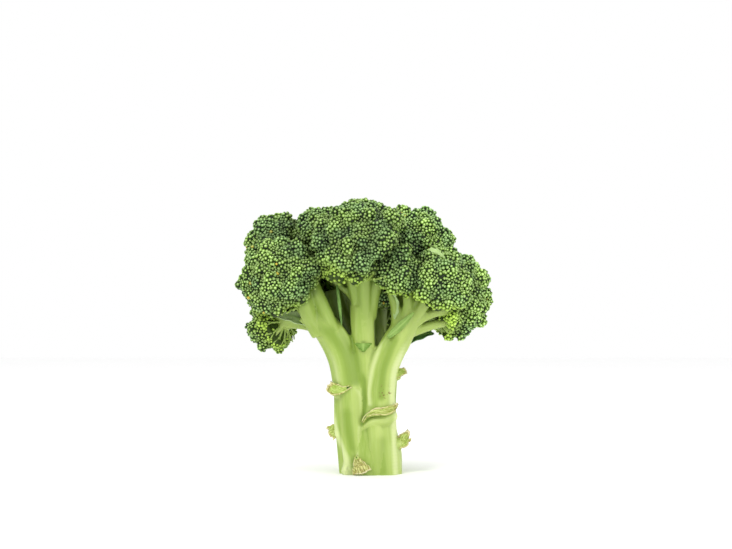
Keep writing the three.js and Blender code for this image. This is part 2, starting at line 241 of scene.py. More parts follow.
def stem_line(floret):
    """A floret's stem: it leaves its limb along the limb, and bends to meet its crown square on."""
    at, radius, faces, limb, leaves, thickness = floret
    way = smooth_line(LIMBS[limb][0], 60)
    i = int(leaves * 59)
    root, along = way[i], unit(way[min(i + 1, 59)] - way[i - 1])
    axis = facing(*faces)
    end = np.array(at) - axis * (NECK_DEPTH * radius - 3)
    reach = np.linalg.norm(end - root)
    line = bezier(root, root + along * reach * 0.35, end - axis * reach * 0.4, end, 14)
    return line, spread(thickness, 14)


def around(axis):
    """Two directions square to an axis and to each other."""
    side = unit(np.cross(axis, [0, 0, 1] if abs(axis[2]) < 0.9 else [1, 0, 0]))
    return side, np.cross(axis, side)


def fork_lines(floret):
    """The branches that a stem divides into inside its crown."""
    at, radius, faces, _, _, thickness = floret
    axis = facing(*faces)
    u, v = around(axis)
    start = np.array(at) - axis * (NECK_DEPTH * radius + 0.12 * radius)
    count = 5 if radius < 18 else 7
    out = []
    for k in range(count):
        a = 2 * math.pi * (k + rng.uniform(-0.2, 0.2)) / count
        side = math.cos(a) * u + math.sin(a) * v
        end = np.array(at) + side * radius * 0.66 - axis * radius * 0.2
        bend = start + axis * radius * 0.22 + side * radius * 0.26
        line = bezier(start + side * thickness[1] * 0.45, bend, end - axis * radius * 0.16, end, 9)
        out.append((line, spread([thickness[1] * 0.5, 0.105 * radius, 0.07 * radius], 9)))
    return out


def underside(radius, share):
    """How far out and how far up a crown's axis its underside is, at a share of the way from neck to rim."""
    a, b, c = np.array([0.2, -0.56]), np.array([0.55, -0.5]), np.array([0.84, -0.32])
    p = (1 - share) ** 2 * a + 2 * (1 - share) * share * b + share**2 * c
    return p * radius


def branchlet_lines(floret):
    """The fan of branchlets under a crown, each of which divides in two on its way to the rim."""
    at, radius, faces = floret[:3]
    axis = facing(*faces)
    u, v = around(axis)
    middle = np.array(at)
    count = max(9, int(radius * 0.75))
    out = []

    def run(angle_from, angle_to, start, stop, thick, thin):
        points = []
        for t in np.linspace(0, 1, 7):
            a = angle_from + (angle_to - angle_from) * t
            r, z = underside(radius, start + (stop - start) * t)
            points.append(middle + (math.cos(a) * u + math.sin(a) * v) * r + axis * (z - 0.25))
        out.append((np.array(points), spread([thick, thin], 7)))

    for k in range(count):
        a = 2 * math.pi * (k + rng.uniform(-0.25, 0.25)) / count
        split = rng.uniform(0.4, 0.6)
        wide = 2 * math.pi / count * 0.3
        run(a, a, 0, split, 0.05 * radius, 0.036 * radius)
        run(a, a - wide, split, 1, 0.034 * radius, 0.022 * radius)
        run(a, a + wide, split, 1, 0.034 * radius, 0.022 * radius)
    return out


# ---------------------------------------------------------------- meshes and trees


def line_object(name, lines):
    """Lines as an object of edges, with each point's thickness as an attribute."""
    points = np.vstack([p for p, _ in lines])
    edges, start = [], 0
    for p, _ in lines:
        edges += [(start + i, start + i + 1) for i in range(len(p) - 1)]
        start += len(p)
    mesh = bpy.data.meshes.new(name)
    mesh.from_pydata([tuple(p) for p in points], edges, [])
    put_number(mesh, "thickness", np.concatenate([t for _, t in lines]))
    return new_object(name, mesh)


def new_object(name, mesh):
    made = bpy.data.objects.new(name, mesh)
    bpy.context.scene.collection.objects.link(made)
    return made


def put_number(mesh, name, values):
    """Keeps a number for each vertex."""
    mesh.attributes.new(name, "FLOAT", "POINT").data.foreach_set("value", np.asarray(values, np.float32))


def put_vector(mesh, name, values):
    """Keeps a vector for each vertex."""
    mesh.attributes.new(name, "FLOAT_VECTOR", "POINT").data.foreach_set(
        "vector", np.asarray(values, np.float32).ravel()
    )


def corners(mesh, what="co"):
    """Where the vertices are, or what else they tell."""
    out = np.empty(len(mesh.vertices) * 3, np.float32)
    mesh.vertices.foreach_get(what, out)
    return out.reshape(-1, 3).astype(float)


def place_corners(mesh, points):
    mesh.vertices.foreach_set("co", np.asarray(points, np.float32).ravel())
    mesh.update()


def normals(mesh):
    """The way that the surface faces at each vertex."""
    return corners(mesh, "normal")


def add(tree, kind, inputs=None, **settings):
    """A node with its settings, and each input linked or set."""
    made = tree.nodes.new(kind)
    for key, value in settings.items():
        setattr(made, key, value)
    for key, value in (inputs or {}).items():
        socket = made.inputs[key]
        if isinstance(value, bpy.types.NodeSocket):
            tree.links.new(value, socket)
        else:
            socket.default_value = value
    return made


def keep(tree, geometry, name, value):
    """A geometry whose points keep a number under a name."""
    inputs = {"Geometry": geometry, "Name": name, "Value": value}
    return add(tree, "GeometryNodeStoreNamedAttribute", inputs, data_type="FLOAT", domain="POINT").outputs[0]


def kept(tree, name):
    """The number that points keep under a name."""
    return add(tree, "GeometryNodeInputNamedAttribute", {"Name": name}, data_type="FLOAT").outputs[0]


def sum_up(tree, operation, *values):
    """One step of arithmetic on numbers."""
    return add(tree, "ShaderNodeMath", dict(enumerate(values)), operation=operation).outputs[0]


def start_tree(name, inputs):
    """A tree with a geometry input and the named inputs given as name: (kind, value)."""
    tree = bpy.data.node_groups.new(name, "GeometryNodeTree")
    tree.interface.new_socket("Geometry", in_out="INPUT", socket_type="NodeSocketGeometry")
    for label, (kind, value) in inputs.items():
        socket = tree.interface.new_socket(label, in_out="INPUT", socket_type="NodeSocket" + kind)
        if value is not None:
            socket.default_value = value
    tree.interface.new_socket("Geometry", in_out="OUTPUT", socket_type="NodeSocketGeometry")
    return tree, tree.nodes.new("NodeGroupInput").outputs


def end_tree(tree, geometry, material):
    """Realize Instances, smooth shading and Set Material end every tree."""
    real = add(tree, "GeometryNodeRealizeInstances", {"Geometry": geometry})
    smooth = add(tree, "GeometryNodeSetShadeSmooth", {"Geometry": real.outputs[0]})
    painted = add(tree, "GeometryNodeSetMaterial", {"Geometry": smooth.outputs[0], "Material": material})
    out = tree.nodes.new("NodeGroupOutput")
    tree.links.new(painted.outputs[0], out.inputs[0])
    return tree


def add_tree(thing, tree, **values):
    """Puts a tree on an object with its inputs set."""
    modifier = thing.modifiers.new(tree.name, "NODES")
    modifier.node_group = tree
    labels = {s.name: s.identifier for s in tree.interface.items_tree if s.in_out == "INPUT"}
    for label, value in values.items():
        modifier[labels[label.replace("_", " ")]] = value


def add_skin(thing, coarseness, rounds):
    """Puts one even skin round everything in an object, and eases it."""
    skin = thing.modifiers.new("skin", "REMESH")
    skin.mode, skin.voxel_size, skin.use_smooth_shade = "VOXEL", coarseness, True
    ease = thing.modifiers.new("ease", "SMOOTH")
    ease.factor, ease.iterations = 0.5, rounds


def take_mesh(thing):
    """The plain mesh that an object's modifiers make. They are removed."""
    graph = bpy.context.evaluated_depsgraph_get()
    mesh = bpy.data.meshes.new_from_object(thing.evaluated_get(graph))
    thing.modifiers.clear()
    return mesh


def tubes(tree, lines, profile):
    """Closed tubes along lines, as thick as their points say."""
    curve = add(tree, "GeometryNodeMeshToCurve", {"Mesh": lines}).outputs[0]
    thick = kept(tree, "thickness")
    sized = add(tree, "GeometryNodeSetCurveRadius", {"Curve": curve, "Radius": thick}).outputs[0]
    made = add(tree, "GeometryNodeCurveToMesh", {"Curve": sized, "Profile Curve": profile, "Fill Caps": True})
    if "Scale" in made.inputs:
        tree.links.new(thick, made.inputs["Scale"])
    return made.outputs[0]


def stem_tree():
    """Ribbed rods that follow the lines of the stalk and its stems."""
    tree, given = start_tree("stem_rods", {"Section": ("Object", None), "Material": ("Material", None)})
    section = add(tree, "GeometryNodeObjectInfo", {"Object": given["Section"]}).outputs["Geometry"]
    profile = add(tree, "GeometryNodeMeshToCurve", {"Mesh": section}).outputs[0]
    return end_tree(tree, tubes(tree, given["Geometry"], profile), given["Material"])


def random_size(tree, low, high, seed):
    chosen = add(tree, "FunctionNodeRandomValue", {2: low, 3: high, "Seed": seed}, data_type="FLOAT")
    return chosen.outputs[1]


def scatter(tree, mesh, spacing, cover, seed):
    """Points over a surface, no nearer to each other than the spacing, where it is to be covered."""
    return add(
        tree,
        "GeometryNodeDistributePointsOnFaces",
        {"Mesh": mesh, "Distance Min": spacing, "Density Max": 4.0, "Density Factor": cover, "Seed": seed},
        distribute_method="POISSON",
    ).outputs


def balls(tree, seats, radius, smallest, biggest, seed):
    """Balls of many sizes on their seats, marked as part of a crown's dome."""
    ball = add(tree, "GeometryNodeMeshIcoSphere", {"Radius": radius, "Subdivisions": 2})
    marked = keep(tree, ball.outputs["Mesh"], "dome", 1.0)
    placed = add(
        tree,
        "GeometryNodeInstanceOnPoints",
        {"Points": seats, "Instance": marked, "Scale": random_size(tree, smallest, biggest, seed)},
    )
    return add(tree, "GeometryNodeRealizeInstances", {"Geometry": placed.outputs[0]}).outputs[0]


def join(tree, *parts):
    """Several meshes as one."""
    made = add(tree, "GeometryNodeJoinGeometry")
    for part in parts:
        tree.links.new(part, made.inputs[0])
    return made.outputs[0]


def lump_tree():
    """Lumps all over a crown's dome, and clumps all over the lumps."""
    tree, given = start_tree(
        "crown_lumps",
        {
            "Lump radius": ("Float", 6.0),
            "Lump spacing": ("Float", 8.0),
            "Clump radius": ("Float", CLUMP),
            "Clump spacing": ("Float", CLUMP * 1.5),
            "Seed": ("Int", 1),
            "Material": ("Material", None),
        },
    )
    seed = given["Seed"]
    dome = kept(tree, "dome")
    seats = scatter(tree, given["Geometry"], given["Lump spacing"], dome, seed)
    lumps = balls(tree, seats["Points"], given["Lump radius"], 0.66, 1.16, seed)
    lumpy = join(tree, lumps, given["Geometry"])
    seats = scatter(tree, lumpy, given["Clump spacing"], dome, seed)
    clumps = balls(tree, seats["Points"], given["Clump radius"], 0.7, 1.15, seed)
    return end_tree(tree, join(tree, clumps, lumpy), given["Material"])


def bud_tree():
    """Buds packed over a crown's lumps, and branchlets under them."""
    tree, given = start_tree(
        "crown_buds",
        {
            "Bud": ("Object", None),
            "Dome": ("Object", None),
            "Branchlets": ("Object", None),
            "Bud spacing": ("Float", BUD_SPACING),
            "Bud size": ("Float", BUD_SIZE),
            "Seed": ("Int", 1),
            "Material": ("Material", None),
        },
    )
    core = given["Geometry"]
    shape = add(tree, "GeometryNodeObjectInfo", {"Object": given["Dome"]}).outputs["Geometry"]
    dome = kept(tree, "dome")
    sampled = add(tree, "GeometryNodeSampleNearestSurface", {"Mesh": shape}, data_type="FLOAT")
    tree.links.new(dome, next(s for s in sampled.inputs if s.enabled and s.name == "Value"))
    cover = next(s for s in sampled.outputs if s.enabled and s.name == "Value")
    spots = scatter(tree, core, given["Bud spacing"], cover, given["Seed"])
    number = add(tree, "GeometryNodeInputIndex").outputs[0]
    counted = keep(tree, spots["Points"], "cell", sum_up(tree, "ADD", number, 1.0))
    bud = add(tree, "GeometryNodeObjectInfo", {"Object": given["Bud"]}).outputs["Geometry"]
    lean = add(
        tree,
        "FunctionNodeRandomValue",
        {0: (-0.22, -0.22, -3.1), 1: (0.22, 0.22, 3.1), "Seed": given["Seed"]},
        data_type="FLOAT_VECTOR",
    )
    turned = add(
        tree,
        "FunctionNodeRotateRotation",
        {"Rotation": spots["Rotation"], "Rotate By": lean.outputs[0]},
        rotation_space="LOCAL",
    )
    size = random_size(tree, 0.7, 1.2, given["Seed"])
    buds = add(
        tree,
        "GeometryNodeInstanceOnPoints",
        {
            "Points": counted,
            "Instance": bud,
            "Rotation": turned.outputs[0],
            "Scale": sum_up(tree, "MULTIPLY", size, given["Bud size"]),
        },
    )
    loose = add(tree, "GeometryNodeObjectInfo", {"Object": given["Branchlets"]}).outputs["Geometry"]
    ring = add(tree, "GeometryNodeCurvePrimitiveCircle", {"Resolution": 7, "Radius": 1.0}).outputs["Curve"]
    fan = keep(tree, tubes(tree, loose, ring), "branchlet", 1.0)
    return end_tree(tree, join(tree, fan, core, buds.outputs[0]), given["Material"])


def bud_object():
    """One closed bud of unit width, its tip along +Z, with its height up the bud as an attribute."""
    rings = [(-0.25, 0.36), (0.06, 0.5), (0.38, 0.41)]
    sides = 7
    points, rise = [(0, 0, -0.4)], [0.0]
    for k, (z, r) in enumerate(rings):
        for i in range(sides):
            a = 2 * math.pi * (i + 0.5 * (k % 2)) / sides
            points.append((r * math.cos(a), r * math.sin(a), z))
            rise.append((k + 1) / 4)
    points.append((0, 0, 0.58))
    rise.append(1.0)
    top = len(points) - 1
    faces = [(0, 1 + (i + 1) % sides, 1 + i) for i in range(sides)]
    for k in range(len(rings) - 1):
        a, b = 1 + k * sides, 1 + (k + 1) * sides
        faces += [(a + i, a + (i + 1) % sides, b + (i + 1) % sides, b + i) for i in range(sides)]
    last = 1 + (len(rings) - 1) * sides
    faces += [(last + i, last + (i + 1) % sides, top) for i in range(sides)]
    mesh = bpy.data.meshes.new("bud")
    mesh.from_pydata(points, [], faces)
    put_number(mesh, "rise", rise)
    layer = mesh.uv_layers.new(name="OFBake")
    for loop in mesh.loops:
        x, y, _ = points[loop.vertex_index]
        far = 0.48 * (1 - rise[loop.vertex_index])
        length = math.hypot(x, y) or 1
        layer.data[loop.index].uv = (0.5 + far * x / length, 0.5 + far * y / length)
    made = new_object("bud", mesh)
    made.hide_render = True
    return made


def section_object():
    """The ribbed cross-section of a stem, of unit radius."""
    count = 48
    points = []
    for i in range(count):
        a = 2 * math.pi * i / count
        r = 1 + 0.035 * math.cos(5 * a) + 0.02 * math.cos(8 * a + 1)
        points.append((r * math.cos(a), r * math.sin(a), 0))
    mesh = bpy.data.meshes.new("stem_section")
    mesh.from_pydata(points, [(i, (i + 1) % count) for i in range(count)], [])
    made = new_object("stem_section", mesh)
    made.hide_render = True
    return made


# ---------------------------------------------------------------- materials


def start_material(name, roughness, **constants):
    """A material with its principled shader, whose finish is set once and for all."""
    made = bpy.data.materials.new(name)
    made.use_nodes = True
    tree = made.node_tree
    shader = tree.nodes["Principled BSDF"]
    shader.inputs["Roughness"].default_value = roughness
    for label, value in constants.items():
        shader.inputs[label.replace("_", " ")].default_value = value
    return made, tree, shader


def blend(tree, share, a, b, kind="MIX"):
    """One colour over another."""
    made = add(tree, "ShaderNodeMix", data_type="RGBA", blend_type=kind)
    for socket, value in zip([made.inputs[0], made.inputs[6], made.inputs[7]], [share, a, b]):
        if isinstance(value, bpy.types.NodeSocket):
            tree.links.new(value, socket)
        else:
            socket.default_value = value if isinstance(value, (int, float)) else (*value, 1)
    return made.outputs[2]


def attribute(tree, name, vector=False):
    """What a mesh keeps for each of its vertices."""
    return add(tree, "ShaderNodeAttribute", attribute_name=name).outputs["Vector" if vector else "Fac"]


def between(tree, value, low, high, out_low=0.0, out_high=1.0):
    """A value eased from one range to another."""
    made = add(tree, "ShaderNodeMapRange", {0: value, 1: low, 2: high, 3: out_low, 4: out_high})
    made.interpolation_type = "SMOOTHSTEP"
    return made.outputs[0]


def noise(tree, vector, scale, detail=3.0, roughness=0.5):
    inputs = {"Vector": vector, "Scale": scale, "Detail": detail, "Roughness": roughness}
    return add(tree, "ShaderNodeTexNoise", inputs).outputs["Fac"]


def bump(tree, shader, height, strength, distance):
    made = add(tree, "ShaderNodeBump", {"Height": height, "Strength": strength, "Distance": distance})
    tree.links.new(made.outputs[0], shader.inputs["Normal"])


def bud_material():
    """Waxy green buds, with painted shade low between them and a painted highlight on their tops, yellower and
    lighter round the rim.
    """
    made, tree, shader = start_material("waxy_buds", 0.48, Specular_IOR_Level=0.2)
    place = add(tree, "ShaderNodeTexCoord").outputs["Object"]
    rise = attribute(tree, "rise")
    tint = attribute(tree, "tint")
    fringe = attribute(tree, "fringe")
    branchlet = attribute(tree, "branchlet")
    patches = between(tree, noise(tree, place, 70.0, 2.0), 0.4, 0.64)
    # Painted shade: each bud is darkest at its foot, where the gaps between the buds are in shade.
    deep = blend(tree, patches, (0.014, 0.034, 0.004), (0.008, 0.022, 0.004))
    body = blend(tree, patches, (0.120, 0.218, 0.024), (0.070, 0.142, 0.030))
    # Painted highlight: the top of each bud is paler.
    painted_tip_highlight = blend(tree, patches, (0.38, 0.52, 0.19), (0.28, 0.42, 0.17))
    green = blend(tree, between(tree, rise, 0.3, 0.85), deep, body)
    green = blend(tree, between(tree, rise, 0.65, 1.0, 0.0, 0.85), green, painted_tip_highlight)
    # The younger buds round the rim are yellower, with the same painted shade at their foot and painted
    # highlight on top.
    young = blend(tree, between(tree, rise, 0.2, 1.0), (0.09, 0.165, 0.010), (0.31, 0.45, 0.07))
    mixed = blend(tree, fringe, green, young)
    # The shade attribute holds each bud's own random tone times painted shade from the creases and the next
    # crown.
    shade = attribute(tree, "shade")
    lit = blend(tree, 1.0, mixed, (1, 1, 1), "MULTIPLY")
    tree.links.new(
        add(tree, "ShaderNodeCombineColor", {0: shade, 1: shade, 2: shade}).outputs[0],
        lit.node.inputs[7],
    )
    yellowed = blend(tree, between(tree, tint, 0.995, 0.998), lit, (0.50, 0.40, 0.05))
    streaks = noise(tree, place, 900.0, 2.0)
    stalklet = blend(tree, streaks, (0.17, 0.27, 0.04), (0.40, 0.53, 0.15))
    final = blend(tree, branchlet, yellowed, stalklet)
    tree.links.new(final, shader.inputs["Base Color"])
    bump(tree, shader, noise(tree, place, 2600.0, 2.0), 0.25, 0.0002)
    return made


def stem_material():
    """Pale green flesh, with painted light on its ridges and rounded parts and painted shade in its furrows,
    hollows and forks, and a ringed cut face.
    """
    made, tree, shader = start_material(
        "waxy_stem", 0.42, Specular_IOR_Level=0.35, Subsurface_Weight=0.1, Subsurface_Scale=0.003
    )
    shader.inputs["Subsurface Radius"].default_value = (0.8, 1.0, 0.35)
    place = add(tree, "ShaderNodeTexCoord").outputs["Object"]
    grain = attribute(tree, "grain", vector=True)
    hollow_for_painted_light, height, ridge_for_painted_light, shelter_for_painted_shade = (attribute(tree, n) for n in ("hollow_for_painted_light", "height", "ridge_for_painted_light", "shelter_for_painted_shade"))
    broad = noise(tree, grain, 0.13, 2.0)
    fine = noise(tree, grain, 1.0, 3.0, 0.5)
    flesh = blend(tree, between(tree, broad, 0.3, 0.7), (0.25, 0.36, 0.053), (0.39, 0.49, 0.126))
    for part, low, high, share, colour in (
        (fine, 0.4, 0.8, 0.3, (0.45, 0.55, 0.194)),
        # Painted shade in hollows and painted light on rounded parts.
        (hollow_for_painted_light, 0.05, 0.7, 0.85, (0.10, 0.18, 0.019)),
        (hollow_for_painted_light, -0.1, -0.6, 0.45, (0.51, 0.60, 0.233)),
        # Painted highlight on the ridges and painted shade in the furrows.
        (ridge_for_painted_light, 0.05, 0.8, 0.8, (0.59, 0.66, 0.310)),
        (ridge_for_painted_light, -0.05, -0.8, 0.8, (0.17, 0.27, 0.022)),
        (height, 0.5, 0.88, 0.7, (0.22, 0.33, 0.049)),
        # Painted shade where the rest of the head shelters the stem.
        (shelter_for_painted_shade, 0.38, 0.85, 0.8, (0.10, 0.165, 0.018)),
    ):
        flesh = blend(tree, between(tree, part, low, high, 0.0, share), flesh, colour)
    apart = add(tree, "ShaderNodeSeparateXYZ", {0: place}).outputs
    out = sum_up(tree, "SQRT", sum_up(tree, "ADD", *(sum_up(tree, "POWER", apart[k], 2.0) for k in (0, 1))))
    rings = noise(tree, place, 420.0, 3.0)
    pith = blend(tree, rings, (0.50, 0.58, 0.26), (0.70, 0.74, 0.46))
    bark = blend(tree, between(tree, out, 0.0125, 0.015), pith, (0.30, 0.44, 0.10))
    bark = blend(tree, between(tree, out, 0.015, 0.0165), bark, (0.46, 0.56, 0.22))
    flesh = blend(tree, between(tree, apart[2], 0.0003, 0.0001), flesh, bark)
    near = add(tree, "ShaderNodeVectorMath", {0: place, 1: (0.0085, -0.018, 0.049)}, operation="DISTANCE")
    spots = between(tree, noise(tree, place, 700.0, 2.0), 0.57, 0.66)
    spots = sum_up(tree, "MULTIPLY", spots, between(tree, near.outputs["Value"], 0.0055, 0.002))
    flesh = blend(tree, spots, flesh, (0.16, 0.09, 0.02))
    tree.links.new(flesh, shader.inputs["Base Color"])
    bump(tree, shader, noise(tree, grain, 1.6, 2.0), 0.05, 0.0003)
    return made


def leaf_material():
    """Leaves from dark green to pale and waxy, with pale veins."""
    made, tree, shader = start_material("leaf_blade", 0.45, Specular_IOR_Level=0.35)
    place = add(tree, "ShaderNodeTexCoord").outputs["Object"]
    vein, pale = attribute(tree, "vein"), attribute(tree, "pale")
    mottle = noise(tree, place, 260.0, 4.0)
    dark = blend(tree, mottle, (0.035, 0.11, 0.02), (0.09, 0.21, 0.05))
    fresh = blend(tree, mottle, (0.11, 0.23, 0.012), (0.21, 0.34, 0.05))
    waxy = blend(tree, mottle, (0.34, 0.49, 0.20), (0.60, 0.73, 0.40))
    blade = blend(tree, between(tree, pale, 0.0, 0.5), dark, fresh)
    blade = blend(tree, between(tree, pale, 0.5, 1.0), blade, waxy)
    blade = blend(tree, sum_up(tree, "MULTIPLY", vein, 0.55), blade, (0.36, 0.54, 0.14))
    tree.links.new(blade, shader.inputs["Base Color"])
    bump(tree, shader, mottle, 0.3, 0.0003)
    return made


def stub_material():
    """Stubs that are green outside, and dry and fibrous where they were torn, with a painted shadow in the slit
    near their start.
    """
    made, tree, shader = start_material("drying_stub", 0.6, Specular_IOR_Level=0.3)
    place = add(tree, "ShaderNodeTexCoord").outputs["Object"]
    torn = attribute(tree, "torn")
    fibre = add(tree, "ShaderNodeCombineXYZ", {0: attribute(tree, "span"), 1: attribute(tree, "run")})
    streak = noise(tree, fibre.outputs[0], 1.6, 3.0, 0.6)
    mottle = noise(tree, place, 600.0, 3.0, 0.6)
    green = blend(tree, between(tree, streak, 0.35, 0.65), (0.29, 0.41, 0.05), (0.48, 0.60, 0.17))
    dry = blend(tree, between(tree, streak, 0.38, 0.6), (0.24, 0.24, 0.04), (0.58, 0.58, 0.22))
    dry = blend(tree, between(tree, mottle, 0.5, 0.75), dry, (0.30, 0.20, 0.06))
    rim = blend(tree, mottle, (0.55, 0.50, 0.24), (0.78, 0.72, 0.46))
    mixed = blend(tree, between(tree, torn, 0.1, 0.55), green, dry)
    mixed = blend(tree, between(tree, torn, 0.8, 1.0), mixed, rim)
    # Painted shadow: the slit near the start of a stub is near-black.
    mixed = blend(tree, between(tree, torn, -0.2, -0.8), mixed, (0.02, 0.05, 0.008))
    tree.links.new(mixed, shader.inputs["Base Color"])
    bump(tree, shader, streak, 0.7, 0.0006)
    return made


def floor_material():
    made, tree, shader = start_material("pale_floor", 0.9)
    place = add(tree, "ShaderNodeTexCoord").outputs["Object"]
    grain = noise(tree, place, 3.0, 2.0)
    pale = blend(tree, grain, (0.96, 0.96, 0.96), (0.98, 0.98, 0.98))
    tree.links.new(pale, shader.inputs["Base Color"])
    return made


BUDS, STEM, LEAF, STUB = bud_material(), stem_material(), leaf_material(), stub_material()

# ---------------------------------------------------------------- pieces


def finish_piece(thing, mesh, nodes, material):
    """Puts a finished mesh, in metres, in its object, hides the CAD parts that it stands for and hangs it from
    the root body.
    """
    place_corners(mesh, corners(mesh) * MM)
    thing.data = mesh
    if not mesh.materials:
        mesh.materials.append(material)
    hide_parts(*nodes)
    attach(thing, "root")
    return thing


def neighbours_mean(mesh, values):
    """Each vertex's neighbours' mean of a value."""
    pairs = np.empty(len(mesh.edges) * 2, np.int64)
    mesh.edges.foreach_get("vertices", pairs)
    a, b = pairs.reshape(-1, 2).T
    total = np.zeros_like(values)
    count = np.zeros(len(values))
    np.add.at(total, a, values[b])
    np.add.at(total, b, values[a])
    np.add.at(count, a, 1)
    np.add.at(count, b, 1)
    count = np.maximum(count, 1)
    return total / (count[:, None] if values.ndim > 1 else count)


def build_stems():
    """The stalk, limbs and stems as one skin, cut off flat at the foot."""
    lines = [(smooth_line(p, 5 * len(p)), spread(r, 5 * len(p))) for p, r in [TRUNK, *LIMBS.values()]]
    for floret in FLORETS.values():
        lines.append(stem_line(floret))
        lines += fork_lines(floret)
    lines += [(smooth_line(p, 16), spread(r, 16)) for p, r in BRANCHES + SWELLINGS]
    thing = line_object("stalk_and_stems", lines)
    add_tree(thing, stem_tree(), Section=section_object(), Material=STEM)
    add_skin(thing, STEM_SKIN, 5)
    mesh = take_mesh(thing)
    # How far each vertex was raised or sunk, for painted light on ridges and painted shade in furrows.
    put_number(mesh, "ridge_for_painted_light", raise_ridges(mesh))
    cut_foot(mesh)
    p = corners(mesh)
    axis_points = np.vstack([l for l, _ in lines])
    ways = np.vstack([np.gradient(l, axis=0) for l, _ in lines])
    ways /= np.linalg.norm(ways, axis=1)[:, None]
    radii = np.concatenate([r for _, r in lines])
    nearest = np.empty(len(p), np.int64)
    for i in range(0, len(p), 4000):
        d = np.linalg.norm(p[i : i + 4000, None] - axis_points[None], axis=2) - radii[None]
        nearest[i : i + 4000] = d.argmin(1)
    way = ways[nearest]
    off = p - axis_points[nearest]
    across = off - (off * way).sum(1)[:, None] * way
    along = (p * way).sum(1)
    grain = across + way * (along * 0.06)[:, None]
    put_vector(mesh, "grain", grain)
    # How hollow or rounded the skin is, for painted shade in hollows and painted light on rounded parts.
    bend = p.copy()
    for _ in range(5):
        bend = neighbours_mean(mesh, bend)
    hollow_for_painted_light = ((bend - p) * normals(mesh)).sum(1)
    for _ in range(4):
        hollow_for_painted_light = neighbours_mean(mesh, hollow_for_painted_light)
    put_number(mesh, "hollow_for_painted_light", hollow_for_painted_light / 0.5)
    # The share of the ways out that the head blocks, painted on the stem as shade.
    painted_shade_share = np.zeros(len(p))
    high = np.flatnonzero(p[:, 2] > FORK_LEVEL)
    painted_shade_share[high] = shelter_of(p[high], normals(mesh)[high]) * np.clip((p[high, 2] - FORK_LEVEL) / 20, 0, 1)
    for _ in range(8):
        painted_shade_share = neighbours_mean(mesh, painted_shade_share)
    put_number(mesh, "shelter_for_painted_shade", painted_shade_share)
    put_number(mesh, "height", p[:, 2] / 130)
    nodes = ["stalk"] + [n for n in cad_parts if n.startswith("stem_")]
    return finish_piece(thing, mesh, nodes, STEM)


def raise_ridges(mesh):
    """Raises the ridges and sinks the furrows of the stalk, and tells how far each vertex was moved."""
    p, n = corners(mesh), normals(mesh)
    turn, out = np.degrees(np.arctan2(p[:, 0], -p[:, 1])), np.hypot(p[:, 0], p[:, 1])
    low = np.flatnonzero((p[:, 2] < RIDGE_TOP) & (out > RIDGE_CORE))
    outward = np.clip((n[low, 0] * p[low, 0] + n[low, 1] * p[low, 1]) / out[low] * 2, 0, 1)
    moved = np.zeros(len(p))
    for points, width, height in RIDGES:
        line = smooth_line([(a, z, 0) for a, z in points], 50)
        round_it = (turn[low, None] - line[None, :, 0] + 180) % 360 - 180
        far = (round_it * math.radians(STALK_RADIUS)) ** 2 + (p[low, 2, None] - line[None, :, 1]) ** 2
        start = np.clip(far.argmin(1) / 12, 0, 1)
        moved[low] += height * np.exp(-far.min(1) / width**2) * outward * start * start * (3 - 2 * start)
    place_corners(mesh, p + n * moved[:, None])
    return moved


def cut_foot(mesh):
    """Cuts the foot off at the level that the head stands on, and closes it."""
    shape = bmesh.new()
    shape.from_mesh(mesh)
    cut = bmesh.ops.bisect_plane(
        shape,
        geom=shape.verts[:] + shape.edges[:] + shape.faces[:],
        plane_co=(0, 0, 0),
        plane_no=(0, 0, 1),
        clear_inner=True,
    )
    rim = [e for e in cut["geom_cut"] if isinstance(e, bmesh.types.BMEdge)]
    bmesh.ops.holes_fill(shape, edges=rim, sides=0)
    shape.to_mesh(mesh)
    shape.free()


